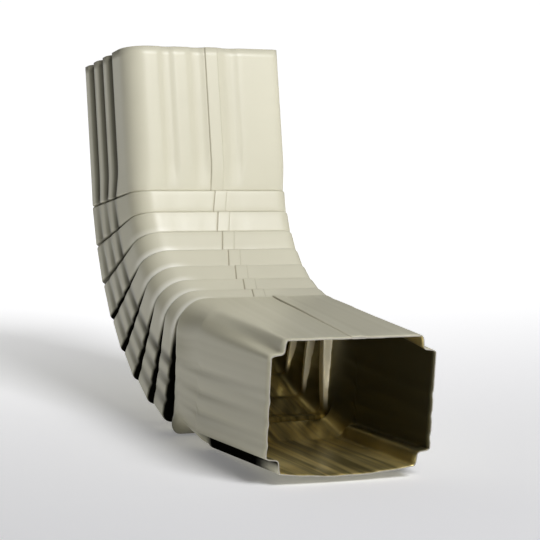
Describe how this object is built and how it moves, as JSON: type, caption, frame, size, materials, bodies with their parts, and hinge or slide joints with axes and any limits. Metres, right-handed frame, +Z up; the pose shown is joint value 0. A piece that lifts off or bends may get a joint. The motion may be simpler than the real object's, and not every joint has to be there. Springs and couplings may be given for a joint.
{
  "type": "downspout elbow",
  "caption": "Rectangular corrugated downspout elbow of painted sheet metal, pleated round its bend, with a plain inlet and a corner-crimped outlet that slips into the next pipe.",
  "frame": {"origin": "centre of the inlet rim, where the pipe above enters", "axes": "+Y along the outlet leg, the way the water leaves; +Z up with the outlet leg lying level; +X across the wide walls"},
  "size_m": [0.0848, 0.2335, 0.1783],
  "materials": {
    "painted_sheet": "satin"
  },
  "bodies": {
    "root": {"downspout_elbow": "painted_sheet"}
  },
  "joints": []
}
